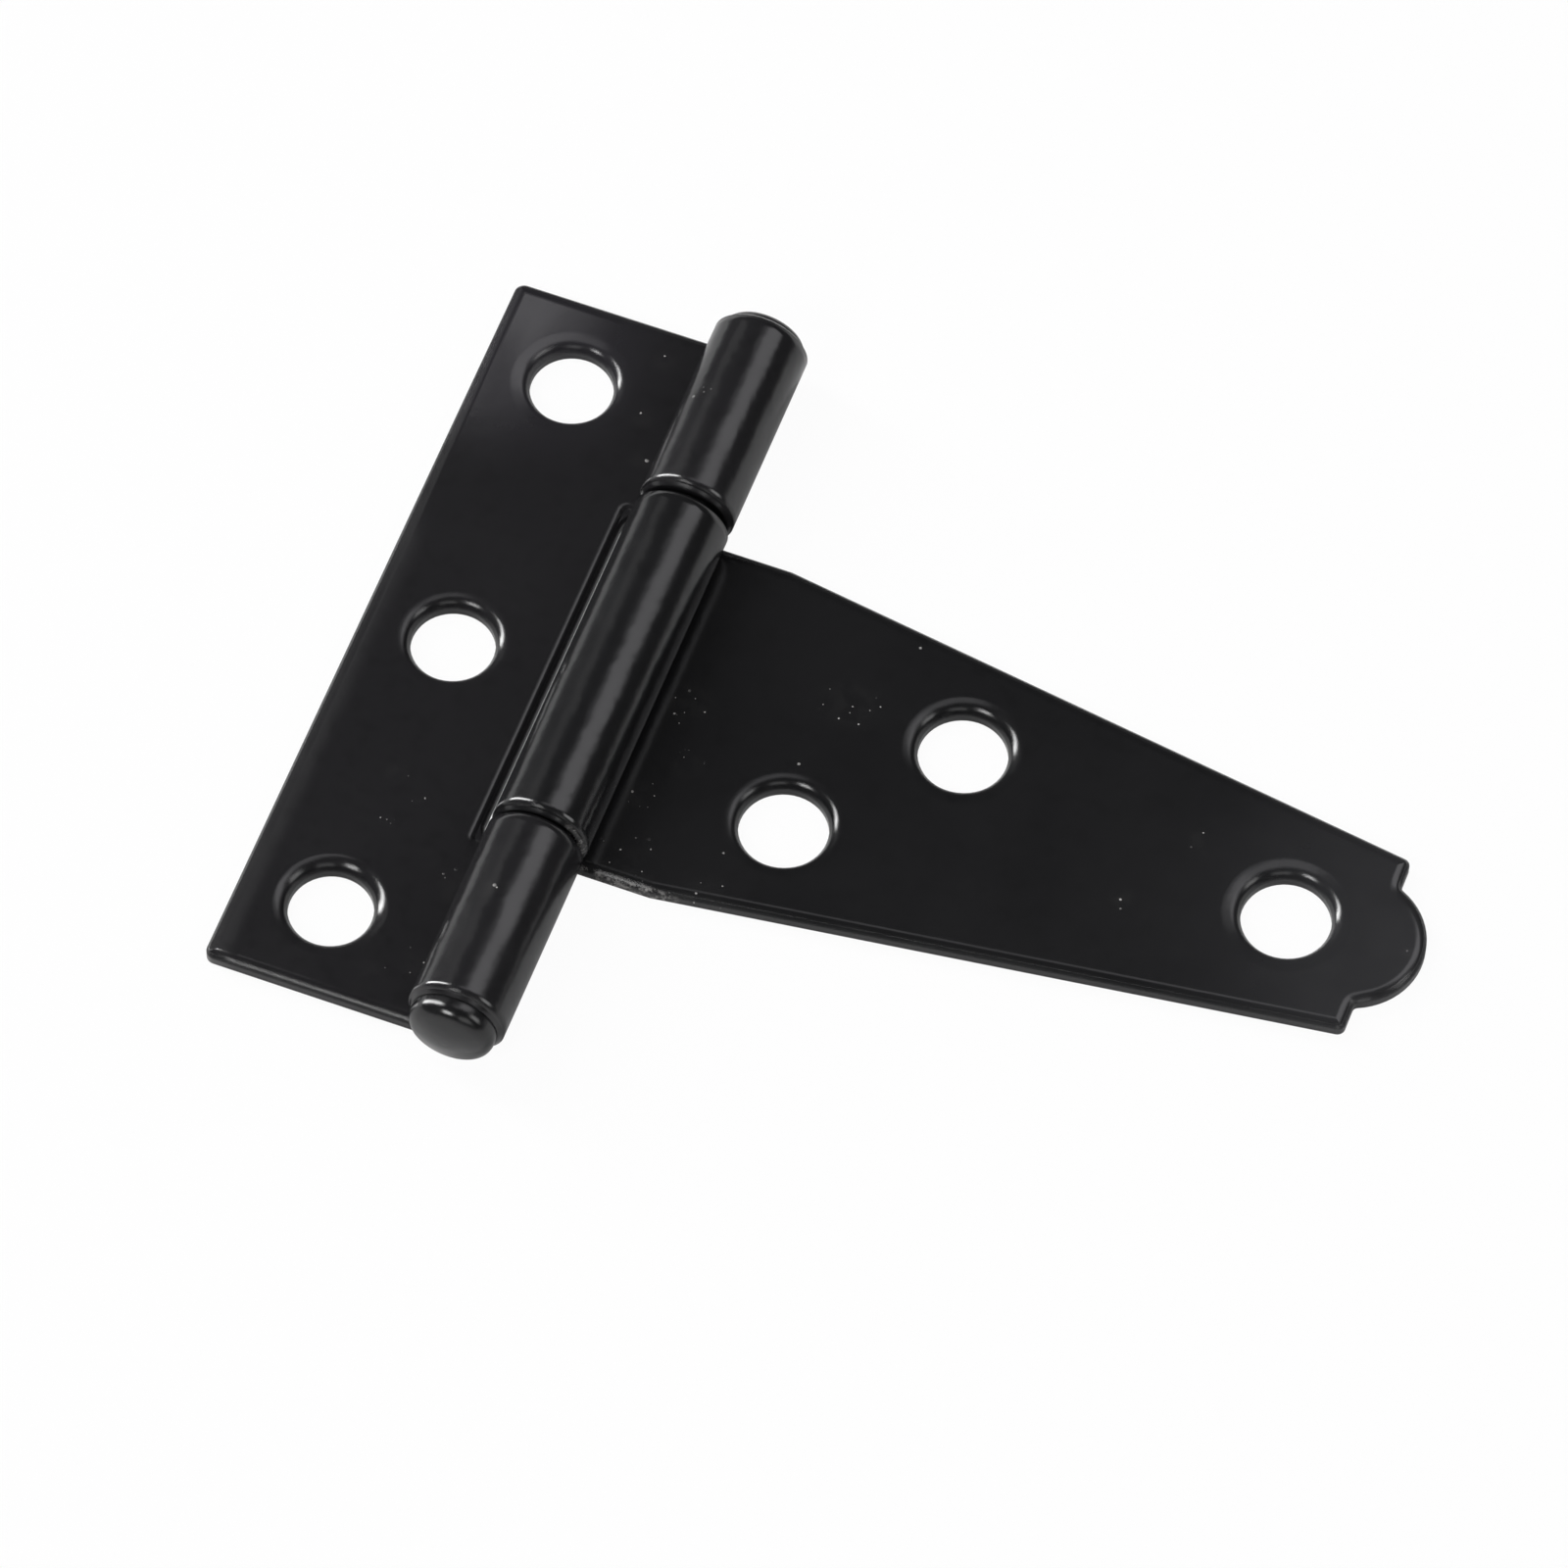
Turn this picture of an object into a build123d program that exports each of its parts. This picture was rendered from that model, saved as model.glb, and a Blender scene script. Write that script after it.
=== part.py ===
# Light tee hinge: a rectangular butt leaf and a long tapered strap, both pressed from sheet
# steel and rolled round one headed pin.
# The two leaves lie open and flat on the XY plane with their screw rims up. The pin runs
# along Y above the origin, the butt leaf lies towards -X and the strap towards +X.

import os
from math import asin, atan, degrees

from build123d import *

os.makedirs("parts", exist_ok=True)

# Sheet and its broken edges
sheet = 1.1
back_edge_break = 0.3
front_edge_break = 0.2

# Pin and barrel
pin_d = 3.7
pin_clearance = 0.05
seam_gap = 0.12

# Pin heads: a full button head below, a low peened dome above
head_d = 5.3
head_rim = 0.95
head_crown = 0.7
head_corner_r = 0.9
peen_d = 5.3
peen_rim = 0.3
peen_crown = 0.4
peen_edge_break = 0.2

# Butt leaf
leaf_height = 50.8
leaf_reach = 15.8
leaf_corner_r = 0.6
window_depth = 3.7
window_corner_r = 1.1
leaf_hole_r = 2.55
leaf_hole_x = 10.1
leaf_hole_pitch = 19.6

# Strap
knuckle_width = 23.9
upper_joint_gap = 0.35
lower_joint_gap = 0.15
taper_start = 7.0
shoulder_x = 48.1
shoulder_width = 12.3
shoulder_corner_r = 0.5
tongue_reach = 50.9
tongue_r = 4.5
tongue_root_r = 0.35
strap_hole_r = 2.7
near_hole_x, near_hole_y = 12.75, -4.8
far_hole_x, far_hole_y = 20.85, 3.85
tip_hole_x = 42.45

# Countersink pressed into each screw hole, and the rounding of its lip
sink_step = 0.3
sink_depth = 0.55
sink_lip_r = 0.5

# Sizes that follow from the ones above
pin_r = pin_d / 2
bore_r = pin_r + pin_clearance
barrel_r = bore_r + sheet
axis_z = barrel_r
pin_axis = Axis((0, 0, axis_z), (0, 1, 0))
half_height = leaf_height / 2
sink_angle = 2 * degrees(atan(sink_step / sink_depth))
window_width = knuckle_width + upper_joint_gap + lower_joint_gap
strap_drop = (upper_joint_gap - lower_joint_gap) / 2
curl_angle = 270 + degrees(asin((bore_r - seam_gap) / barrel_r))

# Two heights nearer than this are the same height
tiny = 1e-4


def rolled_section(side, reach):
    """Section of a leaf: flat sheet, then the curl that passes under, round and over the pin.

    The sheet lies towards +X for a side of 1 and towards -X for a side of -1. The curl ends
    just clear of the sheet's own front face.
    """
    with BuildSketch(Plane.XZ) as section:
        with BuildLine():
            outer = CenterArc((0, axis_z), barrel_r, -90, -side * curl_angle)
            inner = CenterArc((0, axis_z), bore_r, -90, -side * curl_angle)
            Line(outer @ 1, inner @ 1)
            Polyline(inner @ 0, (side * reach, sheet), (side * reach, 0), outer @ 0)
        make_face()
    return section.sketch


def flat_edges(leaf, height):
    """The edges that run at one height above the back of a leaf, away from the barrel."""
    level = leaf.edges().filter_by(lambda e: abs((e @ 0 - e @ 1).Z) < tiny)
    at_height = level.filter_by(lambda e: abs(e.center().Z - height) < tiny)
    return at_height.filter_by(lambda e: abs(e.center().X) > tiny)


def break_edges(leaf):
    """Break the sharp edges of a leaf all round its outline, on over the rims of its knuckles."""
    chamfer(flat_edges(leaf, 0), length=back_edge_break)
    chamfer(flat_edges(leaf, sheet), length=front_edge_break)


def screw_holes(leaf, places, radius):
    """Countersink the holes from the front face and round the lip of each."""
    with Locations(*[(x, y, sheet) for x, y in places]):
        CounterSinkHole(radius, radius + sink_step, counter_sink_angle=sink_angle)
    lips = flat_edges(leaf, sheet).filter_by(GeomType.CIRCLE)
    fillet(lips.filter_by(lambda e: abs(e.radius - radius - sink_step) < tiny), radius=sink_lip_r)


with BuildPart() as butt_leaf:
    extrude(rolled_section(-1, leaf_reach), amount=half_height, both=True)
    corners = butt_leaf.edges().filter_by(Axis.Z).group_by(Axis.X)[0]
    fillet(corners, radius=leaf_corner_r)
    with BuildSketch(Plane.XY):
        with Locations((-window_depth, 0)):
            window = Rectangle(window_depth + 2 * barrel_r, window_width, align=(Align.MIN, Align.CENTER))
        fillet(window.vertices().group_by(Axis.X)[0], radius=window_corner_r)
    extrude(amount=2 * axis_z, mode=Mode.SUBTRACT)
    break_edges(butt_leaf)
    screw_holes(butt_leaf, [(-leaf_hole_x, i * leaf_hole_pitch) for i in (-1, 0, 1)], leaf_hole_r)
butt_leaf.part.label = "butt_leaf"
export_step(butt_leaf.part, "parts/butt_leaf.step")


with BuildPart() as strap_leaf:
    extrude(rolled_section(1, tongue_reach), amount=knuckle_width / 2, both=True)
    with BuildSketch(Plane.XY) as blank:
        with BuildLine():
            side = Polyline(
                (-2 * barrel_r, 0),
                (-2 * barrel_r, knuckle_width / 2),
                (taper_start, knuckle_width / 2),
                (shoulder_x, shoulder_width / 2),
                (shoulder_x, 0),
            )
            mirror(side, about=Plane.XZ)
        make_face()
        with Locations((tongue_reach - tongue_r, 0)):
            Circle(tongue_r)
        on_shoulder = blank.vertices().filter_by(lambda v: abs(v.X - shoulder_x) < tiny)
        fillet(on_shoulder.group_by(lambda v: round(abs(v.Y), 3))[0], radius=tongue_root_r)
        on_shoulder = blank.vertices().filter_by(lambda v: abs(v.X - shoulder_x) < tiny)
        fillet(on_shoulder.group_by(lambda v: round(abs(v.Y), 3))[-1], radius=shoulder_corner_r)
    extrude(amount=2 * axis_z, mode=Mode.INTERSECT)
    break_edges(strap_leaf)
    holes = [(near_hole_x, near_hole_y), (far_hole_x, far_hole_y), (tip_hole_x, 0)]
    screw_holes(strap_leaf, holes, strap_hole_r)
strap_leaf.part = strap_leaf.part.moved(Location((0, -strap_drop, 0)))
strap_leaf.part.label = "strap_leaf"
export_step(strap_leaf.part, "parts/strap_leaf.step")


with BuildPart() as hinge_pin:
    head_end, peen_end = -half_height - head_rim, half_height + peen_rim
    with BuildSketch(Plane.XY.offset(axis_z)) as half_section:
        with BuildLine():
            head = TangentArc((0, head_end - head_crown), (head_d / 2, head_end), tangent=(1, 0))
            peen = TangentArc((0, peen_end + peen_crown), (peen_d / 2, peen_end), tangent=(1, 0))
            Polyline(head @ 1, (head_d / 2, -half_height), (pin_r, -half_height), (pin_r, 0))
            Polyline((pin_r, 0), (pin_r, half_height), (peen_d / 2, half_height), peen @ 1)
            Line(peen @ 0, head @ 0)
        make_face()
        fillet(half_section.vertices().sort_by_distance(head @ 1)[0], radius=head_corner_r)
        chamfer(half_section.vertices().sort_by_distance(peen @ 1)[0], length=peen_edge_break)
    revolve(axis=pin_axis)
hinge_pin.part.label = "hinge_pin"
export_step(hinge_pin.part, "parts/hinge_pin.step")
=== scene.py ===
# Tee hinge: a black coating for its three pieces, a pale floor in a white room, soft studio
# lamps and the camera. All lengths are in metres.

from math import cos, pi, radians, sin

import bpy
from mathutils import Euler, Matrix, Vector

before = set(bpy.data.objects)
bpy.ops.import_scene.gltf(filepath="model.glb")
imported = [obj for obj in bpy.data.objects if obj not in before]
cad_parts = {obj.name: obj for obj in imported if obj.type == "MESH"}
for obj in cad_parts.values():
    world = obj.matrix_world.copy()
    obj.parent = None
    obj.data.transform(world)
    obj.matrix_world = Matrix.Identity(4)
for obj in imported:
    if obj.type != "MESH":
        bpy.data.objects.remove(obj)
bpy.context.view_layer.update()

scene = bpy.context.scene
scene.view_settings.view_transform = "Standard"

WHITE = (1.0, 1.0, 1.0, 1.0)


# ---------------------------------------------------------------- node helpers


class Graph:
    """A node tree under construction. Most calls add one node and return its output."""

    def __init__(self, tree):
        self.tree = tree
        tree.nodes.clear()

    def node(self, kind, inputs=(), **settings):
        """Add a node and return it. An input is a value or another node's output."""
        made = self.tree.nodes.new(kind)
        for name, value in settings.items():
            setattr(made, name, value)
        for name, value in dict(inputs).items():
            self.feed(made.inputs[name], value)
        return made

    def feed(self, socket, value):
        if isinstance(value, bpy.types.NodeSocket):
            self.tree.links.new(value, socket)
        else:
            socket.default_value = value

    def math(self, operation, a, b=0.0, c=0.0, clamp=False):
        inputs = {0: a, 1: b, 2: c}
        made = self.node("ShaderNodeMath", inputs, operation=operation, use_clamp=clamp)
        return made.outputs[0]

    def vector(self, operation, a, b):
        made = self.node("ShaderNodeVectorMath", {0: a, 1: b}, operation=operation)
        return made.outputs["Value" if operation == "DISTANCE" else "Vector"]

    def split(self, vector):
        """The X, Y and Z of a vector."""
        return self.node("ShaderNodeSeparateXYZ", {"Vector": vector}).outputs

    def noise(self, where, size, detail, rough):
        """Noise with features about size metres across, from 0 to 1."""
        inputs = {"Vector": where, "Scale": 1 / size, "Detail": detail, "Roughness": rough}
        return self.node("ShaderNodeTexNoise", inputs).outputs[0]

    def ramp(self, value, low, high, to_low=0.0, to_high=1.0):
        """Smooth step of a value: to_low up to low, to_high from high on."""
        inputs = {
            "Value": value,
            "From Min": low,
            "From Max": high,
            "To Min": to_low,
            "To Max": to_high,
        }
        made = self.node("ShaderNodeMapRange", inputs, interpolation_type="SMOOTHSTEP")
        return made.outputs[0]

    def mix(self, factor, a, b):
        """Mix of two colours."""
        return self.node("ShaderNodeMix", {0: factor, 6: a, 7: b}, data_type="RGBA").outputs[2]

    def bump(self, height, distance, normal, strength=1.0):
        """A normal tilted by a height, where a height of 1 stands for the distance."""
        inputs = {"Strength": strength, "Distance": distance, "Height": height, "Normal": normal}
        return self.node("ShaderNodeBump", inputs).outputs[0]

    def blob(self, where, centre, reach):
        """1 within a soft round patch at a place on the part, 0 away from it."""
        return self.ramp(self.vector("DISTANCE", where, centre), 0.25 * reach, reach, 1.0, 0.0)

    def most(self, *values):
        top = values[0]
        for value in values[1:]:
            top = self.math("MAXIMUM", top, value)
        return top


def tree_of(name):
    """A new material and the graph to build it in."""
    material = bpy.data.materials.new(name)
    material.use_nodes = True
    return material, Graph(material.node_tree)


# ---------------------------------------------------------------- pressed sheet

# The leaves' outlines and the pin's ends, as in the CAD
LEAF_REACH, LEAF_HALF_HEIGHT = 0.0158, 0.0254
WINDOW_DEPTH, WINDOW_HALF_WIDTH = 0.0037, 0.0122
LEAF_HOLE_X, LEAF_HOLE_PITCH, LEAF_HOLE_R = 0.0101, 0.0196, 0.00255
KNUCKLE_HALF_WIDTH, STRAP_DROP = 0.01195, 0.0001
TAPER_START, TAPER_SLOPE = 0.0070, 0.1411
SHOULDER_X, TONGUE_X, TONGUE_R = 0.0481, 0.0464, 0.0045
STRAP_HOLE_R = 0.0027
EDGE_BREAK = 0.0002
AXIS_Z, HEAD_END, PEEN_END = 0.003, -0.02705, 0.0261

# The sheet rolls off inside its broken edges, less so where the tongue leaves the strap, and is
# dished round each hole from a little way out of the hole's wall
ROLL_WIDTH, ROLL_DEPTH = 0.00055, 0.00018
ROOT_BLEND = 0.0012
DISH_START = 0.00025

# A bend in the sheet steepens outwards, and is this much of its full rise at its low end
BEND_POWER, BEND_LEAST = 1.5, 0.15


def leaf_inset(g, x, y):
    """How far a point of the butt leaf lies inside its outline and clear of its window."""
    off_middle = g.math("ABSOLUTE", y)
    off_side = g.math("ADD", x, LEAF_REACH)
    inset = g.math("MINIMUM", off_side, g.math("SUBTRACT", LEAF_HALF_HEIGHT, off_middle))
    beside = g.math("MAXIMUM", g.math("SUBTRACT", -WINDOW_DEPTH, x), 0.0)
    beyond = g.math("MAXIMUM", g.math("SUBTRACT", off_middle, WINDOW_HALF_WIDTH), 0.0)
    squares = g.math("ADD", g.math("POWER", beside, 2.0), g.math("POWER", beyond, 2.0))
    return g.math("MINIMUM", inset, g.math("SQRT", squares))


def strap_inset(g, x, y):
    """How far a point of the strap lies inside its outline."""
    off_middle = g.math("ABSOLUTE", g.math("ADD", y, STRAP_DROP))
    root = g.math("SUBTRACT", KNUCKLE_HALF_WIDTH, off_middle)
    narrowing = g.math("MULTIPLY", g.math("SUBTRACT", x, TAPER_START), TAPER_SLOPE)
    body = g.math("MINIMUM", root, g.math("SUBTRACT", root, narrowing))
    body = g.math("MINIMUM", body, g.math("SUBTRACT", SHOULDER_X, x))
    flat = g.node("ShaderNodeCombineXYZ", {"X": x, "Y": y}).outputs[0]
    off_centre = g.vector("DISTANCE", flat, (TONGUE_X, -STRAP_DROP, 0.0))
    tongue = g.math("SUBTRACT", TONGUE_R, off_centre)
    return g.math("SMOOTH_MAX", body, tongue, ROOT_BLEND)


def pressed(g, where, inset_of, holes, hole_r, bends):
    """Height of the sheet, as pressed: edges that roll off, a shallow dish round each hole, and
    places along the edges that are bent a little up or down.
    """
    place = g.split(where)
    inset = inset_of(g, place["X"], place["Y"])
    share_in = g.math("MULTIPLY", inset, 1 / ROLL_WIDTH)
    near = g.math("SUBTRACT", 1 + EDGE_BREAK / ROLL_WIDTH, share_in)
    near = g.math("MAXIMUM", g.math("MINIMUM", near, 1.0), 0.0)
    height = g.math("MULTIPLY", g.math("POWER", near, 2.0), -ROLL_DEPTH)
    on_sheet = g.vector("MULTIPLY", where, (1.0, 1.0, 0.0))
    dish_r = hole_r + DISH_START
    for x, y, width, depth in holes:
        reach = g.vector("DISTANCE", on_sheet, (x, y, 0.0))
        height = g.math("ADD", height, g.ramp(reach, dish_r, dish_r + width, -depth, 0.0))
    for start, end, low, high, rise in bends:
        outward = g.math("MULTIPLY", g.math("SUBTRACT", start, place["X"]), 1 / (start - end))
        outward = g.math("POWER", g.math("MAXIMUM", outward, 0.0), BEND_POWER)
        along = g.ramp(place["Y"], low, high, BEND_LEAST, 1.0)
        lift = g.math("MULTIPLY", g.math("MULTIPLY", outward, along), rise)
        height = g.math("ADD", height, lift)
    return height


# ---------------------------------------------------------------- coating

# Noises in the coating, from broad to fine, and how far each lifts the surface
CLOUD_SIZE, CLOUD_DEPTH = 0.009, 0.00006
ROLLED_SIZE, ROLLED_DEPTH = 0.0022, 0.00006
MOTTLE_SIZE = 0.0011
PEEL_SIZE, PEEL_DEPTH, PEEL_STRENGTH = 0.00032, 0.000006, 0.5
GRAIN_DEPTH, GRAIN_STRENGTH = 0.00003, 0.6

# Heights between which the waves of the rolled knuckles come in
SHEET_TOP, CURL_SIDE = 0.0012, 0.0025

# Rounding of every edge, and the middle of a round end that is left out of it
EDGE_ROUND = 0.00028
TIP_REACH = 0.0007

# Tone: how much darker the mottle makes it, and how rough the coating is
DARKER, MOTTLE_SHARE = 0.6, 0.6
SHINY, SATIN, MOTTLE_ROUGH, DUST_ROUGH = 0.13, 0.18, 0.05, 0.4

# Dust grains: the cell of their grid, the share of the cells that hold one, and their size
COARSE_DUST = (0.00070, 0.6, 0.00010)
FINE_DUST = (0.00040, 0.4, 0.000055)
STRAY_DUST = (0.0020, 0.08, 0.00009)
DUST_COLOUR, DUST_COVER, FILM_COVER = (0.42, 0.41, 0.40, 1.0), 0.75, 0.008

# Rubbed edge: the noise that breaks it up, the width of its band and how it fades at its ends
RUBBED_COLOUR, RUBBED_SIZE = (0.30, 0.29, 0.28, 1.0), 0.0005
RUBBED_CORE, RUBBED_WIDTH, RUBBED_COVER = 0.00008, 0.00035, 0.6
RUBBED_FADE_IN, RUBBED_FADE_OUT = 0.0008, 0.003


def specks(g, where, cell, share, size):
    """Dust grains: a share of the cells of a grid hold one grain each, of varied size and tone."""
    grid = g.node(
        "ShaderNodeTexVoronoi", {"Vector": where, "Scale": 1 / cell, "Randomness": 1.0}
    ).outputs
    pick = g.node("ShaderNodeSeparateColor", {"Color": grid["Color"]}).outputs
    held = g.math("LESS_THAN", pick["Red"], share)
    grain = g.math("MULTIPLY", g.math("ADD", pick["Green"], 0.35), size / cell)
    inside = g.math("LESS_THAN", grid["Distance"], grain)
    tone = g.ramp(pick["Blue"], 0.1, 0.9, 0.25, 1.0)
    return g.math("MULTIPLY", g.math("MULTIPLY", held, inside), tone)


def settled(g, where, shifted, mottle, dusty):
    """The thin film and the grains of dust, mostly in the dusty patches (centre, reach)."""
    gathered = g.most(*[g.blob(where, centre, reach) for centre, reach in dusty])
    film = g.math("MULTIPLY", gathered, g.ramp(mottle, 0.42, 0.6))
    coarse = g.math("MULTIPLY", specks(g, shifted, *COARSE_DUST), film)
    fine = g.math("MULTIPLY", specks(g, shifted, *FINE_DUST), g.ramp(gathered, 0.05, 0.4))
    return film, g.most(coarse, fine, specks(g, shifted, *STRAY_DUST))


def rubbed_edge(g, where, shifted, start, end, line):
    """How far the coating is rubbed through along an edge, from start x to end x at line y."""
    place = g.split(where)
    off_line = g.math("ABSOLUTE", g.math("SUBTRACT", place["Y"], line))
    fade_in = g.ramp(place["X"], start, start + RUBBED_FADE_IN)
    fade_out = g.ramp(place["X"], end - RUBBED_FADE_OUT, end, 1.0, 0.0)
    band = g.ramp(off_line, RUBBED_CORE, RUBBED_WIDTH, RUBBED_COVER, 0.0)
    band = g.math("MULTIPLY", band, g.math("MULTIPLY", fade_in, fade_out))
    broken = g.ramp(g.noise(shifted, RUBBED_SIZE, 4.0, 0.7), 0.46, 0.64)
    return g.math("MULTIPLY", band, broken)


def rounded(g, where, tips):
    """Normal of the surface with its edges rounded, apart from the tips of round ends."""
    normal = g.node("ShaderNodeBevel", {"Radius": EDGE_ROUND}, samples=5).outputs[0]
    if not tips:
        return normal
    plain = g.node("ShaderNodeNewGeometry").outputs["True Normal"]
    at_tip = g.most(*[g.blob(where, tip, TIP_REACH) for tip in tips])
    return g.node("ShaderNodeMix", {0: at_tip, 4: normal, 5: plain}, data_type="VECTOR").outputs[1]


def coating(
    name,
    tone,
    painted_sheen,
    painted_sheen_at,
    dusty,
    worn=None,
    offset=0.0,
    inset_of=None,
    holes=(),
    hole_r=0.0,
    bends=(),
    tips=(),
):
    """Satin black coating over pressed steel: cloudy tone, orange peel, broad waves, dust, wear.

    tone is the base colour, and painted_sheen the colour of a painted sheen: a paler patch at
    painted_sheen_at (centre, reach) that stands in for a broad reflection. dusty is the patches
    (centre, reach) where dust has gathered, and worn an edge line (start x, end x, y) rubbed pale.
    offset shifts the noises, so that no two pieces look alike. inset_of, holes (x, y, dish width,
    dish depth) and bends (start x, end x, low y, high y, rise) say where the pressed sheet isn't
    quite flat, and tips are the middles of round ends.
    """
    material, g = tree_of(name)
    where = g.node("ShaderNodeTexCoord").outputs["Object"]
    shifted = g.vector("ADD", where, (offset, 2 * offset, 3 * offset))
    cloud = g.noise(shifted, CLOUD_SIZE, 3.0, 0.55)
    mottle = g.noise(shifted, MOTTLE_SIZE, 3.0, 0.6)
    peel = g.noise(shifted, PEEL_SIZE, 2.0, 0.5)

    darker = tuple(DARKER * channel for channel in tone[:3]) + (1.0,)
    colour = g.mix(g.ramp(mottle, 0.45, 0.75, 0.0, MOTTLE_SHARE), tone, darker)
    # Painted sheen: a soft paler patch, broken up by the cloud noise, stands in for a broad
    # reflection
    painted_sheen_mask = g.math("MULTIPLY", g.blob(where, *painted_sheen_at), g.ramp(cloud, 0.25, 0.75, 0.75, 1.0))
    colour = g.mix(painted_sheen_mask, colour, painted_sheen)

    film, dust = settled(g, where, shifted, mottle, dusty)
    colour = g.mix(g.math("MULTIPLY", film, FILM_COVER), colour, DUST_COLOUR)
    colour = g.mix(g.math("MULTIPLY", dust, DUST_COVER), colour, DUST_COLOUR)
    dull = dust
    if worn:
        rubbed = rubbed_edge(g, where, shifted, *worn)
        colour = g.mix(rubbed, colour, RUBBED_COLOUR)
        dull = g.most(dust, rubbed)

    rough = g.ramp(cloud, 0.3, 0.7, SHINY, SATIN)
    rough = g.math("ADD", rough, g.math("MULTIPLY", mottle, MOTTLE_ROUGH))
    rough = g.math("ADD", rough, g.math("MULTIPLY", dull, DUST_ROUGH), clamp=True)

    normal = rounded(g, where, tips)
    if inset_of:
        normal = g.bump(pressed(g, where, inset_of, holes, hole_r, bends), 1.0, normal)
    on_curl = g.ramp(g.split(where)["Z"], SHEET_TOP, CURL_SIDE)
    rolled = g.math("MULTIPLY", g.noise(shifted, ROLLED_SIZE, 2.0, 0.5), on_curl)
    normal = g.bump(rolled, ROLLED_DEPTH, normal)
    normal = g.bump(cloud, CLOUD_DEPTH, normal)
    normal = g.bump(peel, PEEL_DEPTH, normal, PEEL_STRENGTH)
    normal = g.bump(dust, GRAIN_DEPTH, normal, GRAIN_STRENGTH)

    coat = g.node(
        "ShaderNodeBsdfPrincipled",
        {
            "Base Color": colour,
            "Roughness": rough,
            "Normal": normal,
            "IOR": 1.5,
            "Specular IOR Level": 0.5,
        },
    )
    g.node("ShaderNodeOutputMaterial", {"Surface": coat.outputs[0]})
    return material


def dress(node, material):
    """Give a CAD node its finish."""
    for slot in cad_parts[node].material_slots:
        slot.material = material


dress(
    "butt_leaf",
    coating(
        "leaf_coating",
        tone=(0.0105, 0.0102, 0.0112, 1.0),
        # Painted sheen at the upper left corner, a paler colour standing in for a reflection
        painted_sheen=(0.018, 0.017, 0.020, 1.0),
        painted_sheen_at=((-0.0135, 0.021, 0.001), 0.010),
        dusty=[
            ((-0.0053, 0.0230, 0.001), 0.0011),
            ((-0.0040, 0.0158, 0.001), 0.0016),
            ((-0.0052, 0.0188, 0.001), 0.0012),
            ((-0.0014, 0.0193, 0.005), 0.0013),
            ((-0.0036, -0.0160, 0.001), 0.0017),
            ((-0.0060, -0.0147, 0.001), 0.0010),
            ((-0.0040, -0.0215, 0.001), 0.0014),
            ((-0.0065, -0.0234, 0.001), 0.0016),
            ((-0.0099, -0.0099, 0.001), 0.0010),
            ((-0.0092, -0.0131, 0.001), 0.0006),
            ((-0.0080, -0.0110, 0.001), 0.0006),
            ((-0.0008, -0.0179, 0.0058), 0.0009),
        ],
        inset_of=leaf_inset,
        holes=[
            (-LEAF_HOLE_X, LEAF_HOLE_PITCH, 0.0010, 0.00007),
            (-LEAF_HOLE_X, 0.0, 0.0007, 0.00005),
            (-LEAF_HOLE_X, -LEAF_HOLE_PITCH, 0.0007, 0.00011),
        ],
        hole_r=LEAF_HOLE_R,
        bends=[
            (-0.0085, -LEAF_REACH, 0.010, 0.027, 0.0015),
            (-0.0139, -LEAF_REACH, 0.012, 0.004, -0.00036),
        ],
    ),
)
dress(
    "strap_leaf",
    coating(
        "strap_coating",
        tone=(0.0070, 0.0070, 0.0076, 1.0),
        painted_sheen=(0.021, 0.021, 0.0225, 1.0),
        painted_sheen_at=((0.052, 0.0, 0.001), 0.020),
        dusty=[
            ((0.0046, 0.0010, 0.001), 0.0022),
            ((0.0136, 0.0044, 0.001), 0.0026),
            ((0.0040, -0.0060, 0.001), 0.0014),
            ((0.0060, -0.0032, 0.001), 0.0013),
            ((0.0050, -0.0115, 0.001), 0.0032),
            ((0.0100, -0.0117, 0.001), 0.0026),
            ((0.0359, 0.0029, 0.001), 0.0009),
            ((0.0330, -0.0025, 0.001), 0.0010),
            ((0.0499, 0.0001, 0.001), 0.0006),
        ],
        worn=(0.0015, 0.0125, -KNUCKLE_HALF_WIDTH - STRAP_DROP),
        offset=0.11,
        inset_of=strap_inset,
        holes=[
            (0.01275, -0.0049, 0.0007, 0.00005),
            (0.02085, 0.00375, 0.0008, 0.00009),
            (0.04245, -STRAP_DROP, 0.0010, 0.00009),
        ],
        hole_r=STRAP_HOLE_R,
    ),
)
dress(
    "hinge_pin",
    coating(
        "pin_coating",
        tone=(0.0065, 0.0065, 0.0070, 1.0),
        painted_sheen=(0.016, 0.016, 0.017, 1.0),
        painted_sheen_at=((0.0, -0.0272, AXIS_Z), 0.003),
        dusty=[((0.0, PEEN_END, 0.005), 0.0008)],
        offset=0.23,
        tips=[(0.0, PEEN_END, AXIS_Z), (0.0, HEAD_END, AXIS_Z)],
    ),
)


# ---------------------------------------------------------------- floor and world

FLOOR_SIZE, FLOOR_DROP, FLOOR_GREY = 6.0, 0.00002, 0.62

# The floor's share of white seen through glass and in gloss, and how clear it is to the camera
FLOOR_WHITE_THROUGH, FLOOR_WHITE_IN_GLOSS, FLOOR_CLEAR = 0.90, 0.10, 0.96

# The room's brightness in reflections at the floor and overhead, the height where it has faded
# to the latter, and how much it lights the scene
ROOM_LOW, ROOM_HIGH, ROOM_FADE, ROOM_FILL = 0.4, 0.06, 0.14, 0.15

bpy.ops.mesh.primitive_plane_add(size=FLOOR_SIZE, location=(0, 0, -FLOOR_DROP))
floor = bpy.context.object
floor.name = "floor"

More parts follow.
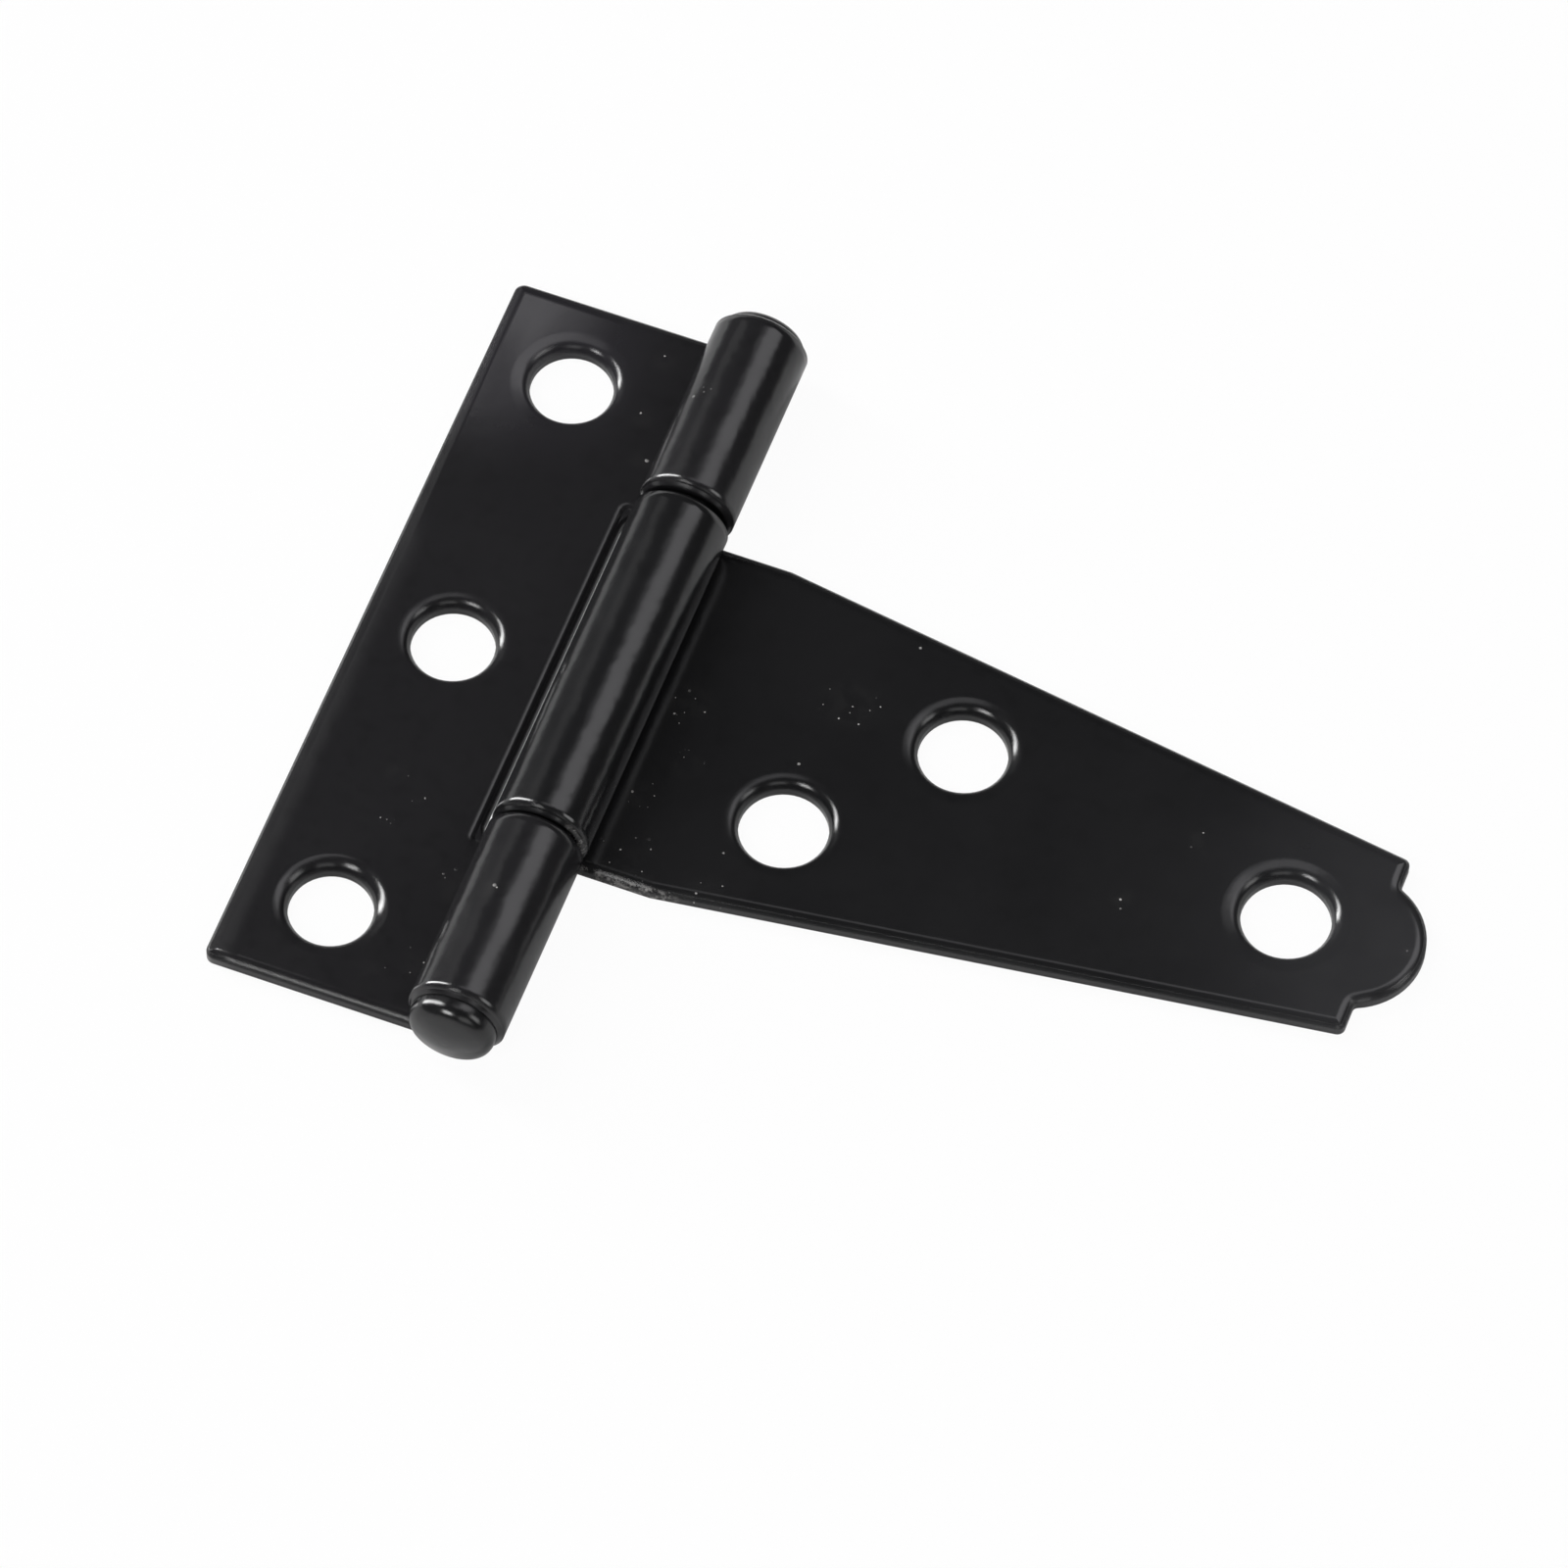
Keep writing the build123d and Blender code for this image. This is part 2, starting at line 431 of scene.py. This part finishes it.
# The floor is pale and takes the hinge's shadow. To the camera it lets the white room through, and
# from below it is clear, so that the strap stays in sight and lit where it swings below the floor.
paper, g = tree_of("paper")
path = g.node("ShaderNodeLightPath").outputs
matt = g.node("ShaderNodeBsdfDiffuse", {"Color": (FLOOR_GREY, FLOOR_GREY, FLOOR_GREY, 1.0)})
glow = g.node("ShaderNodeEmission", {"Color": WHITE, "Strength": 1.0})
clear = g.node("ShaderNodeBsdfTransparent", {"Color": WHITE})
share = g.most(
    g.math("MULTIPLY", path["Is Transmission Ray"], FLOOR_WHITE_THROUGH),
    g.math("MULTIPLY", path["Is Glossy Ray"], FLOOR_WHITE_IN_GLOSS),
)
pale = g.node("ShaderNodeMixShader", {0: share, 1: matt.outputs[0], 2: glow.outputs[0]})
to_camera = g.math("MULTIPLY", path["Is Camera Ray"], FLOOR_CLEAR)
through = g.most(to_camera, g.node("ShaderNodeNewGeometry").outputs["Backfacing"])
both = g.node("ShaderNodeMixShader", {0: through, 1: pale.outputs[0], 2: clear.outputs[0]})
g.node("ShaderNodeOutputMaterial", {"Surface": both.outputs[0]})
floor.data.materials.append(paper)

# The room is white to the camera and pale near the floor in reflections, with a dim ceiling
world = bpy.data.worlds.new("studio")
world.use_nodes = True
scene.world = world
g = Graph(world.node_tree)
height = g.split(g.node("ShaderNodeTexCoord").outputs["Generated"])["Z"]
path = g.node("ShaderNodeLightPath").outputs
level = g.most(
    g.ramp(height, 0.0, ROOM_FADE, ROOM_LOW, ROOM_HIGH),
    path["Is Camera Ray"],
    path["Is Transmission Ray"],
    g.math("MULTIPLY", path["Is Diffuse Ray"], ROOM_FILL),
)
sky = g.node("ShaderNodeBackground", {"Color": WHITE, "Strength": level})
g.node("ShaderNodeOutputWorld", {"Surface": sky.outputs[0]})


# ---------------------------------------------------------------- lamps

hinge_middle = Vector((0.012, 0.0, 0.0))

# A lamp with this share of its direction along the barrel is mirrored in it towards the camera
MIRRORED = 0.494

NEUTRAL, COOL = (1.0, 1.0, 1.0), (0.98, 0.97, 1.0)


def softbox(name, toward, distance, width, height, radiance, colour=NEUTRAL):
    """Area lamp seen from the hinge in a given direction, turned to face it."""
    lamp = bpy.data.lights.new(name, "AREA")
    lamp.shape = "RECTANGLE"
    lamp.size, lamp.size_y = width, height
    lamp.energy = radiance * pi * width * height
    lamp.color = colour
    holder = bpy.data.objects.new(name, lamp)
    direction = Vector(toward).normalized()
    holder.location = hinge_middle + distance * direction
    holder.rotation_euler = direction.to_track_quat("Z", "Y").to_euler()
    holder.visible_camera = False
    scene.collection.objects.link(holder)


def slant(across, along):
    """Direction an angle in degrees across the barrel from straight up, with a share along it."""
    rise = (1 - along**2) ** 0.5
    return (rise * sin(radians(across)), along, rise * cos(radians(across)))


softbox("overhead_box", slant(25, MIRRORED), 0.9, 0.36, 0.50, 1.3, COOL)
softbox("overhead_halo", slant(24, MIRRORED), 0.95, 0.62, 0.60, 0.5, COOL)
softbox("top_box", slant(2, 0.23), 0.9, 0.36, 0.26, 1.0, COOL)
softbox("left_strip", (-0.84, 0.19, 0.50), 0.9, 0.17, 0.85, 24.0)
softbox("left_glow", (-0.60, MIRRORED, 0.63), 0.9, 0.12, 0.50, 0.33)
softbox("right_box", (0.82, 0.04, 0.57), 0.9, 0.34, 0.40, 3.5)
softbox("front_strip", (-0.27, -0.71, 0.65), 0.9, 0.28, 0.20, 20.0)
softbox("front_box", (0.46, -0.74, 0.50), 0.95, 0.50, 0.36, 1.4)


# ---------------------------------------------------------------- camera

azimuth, elevation, roll = radians(19.11), radians(58.48), radians(1.69)
look_at = Vector((0.01157, -0.00167, 0.0))
distance = 0.6608

lens = bpy.data.cameras.new("camera")
lens.sensor_width = 36.0
lens.lens = 256.56
lens.clip_start, lens.clip_end = 0.01, 50.0
camera = bpy.data.objects.new("camera", lens)
turn = Euler((pi / 2 - elevation, 0.0, azimuth)).to_matrix() @ Matrix.Rotation(roll, 3, "Z")
camera.rotation_euler = turn.to_euler()
camera.location = look_at + distance * (turn @ Vector((0.0, 0.0, 1.0)))
scene.collection.objects.link(camera)
scene.camera = camera
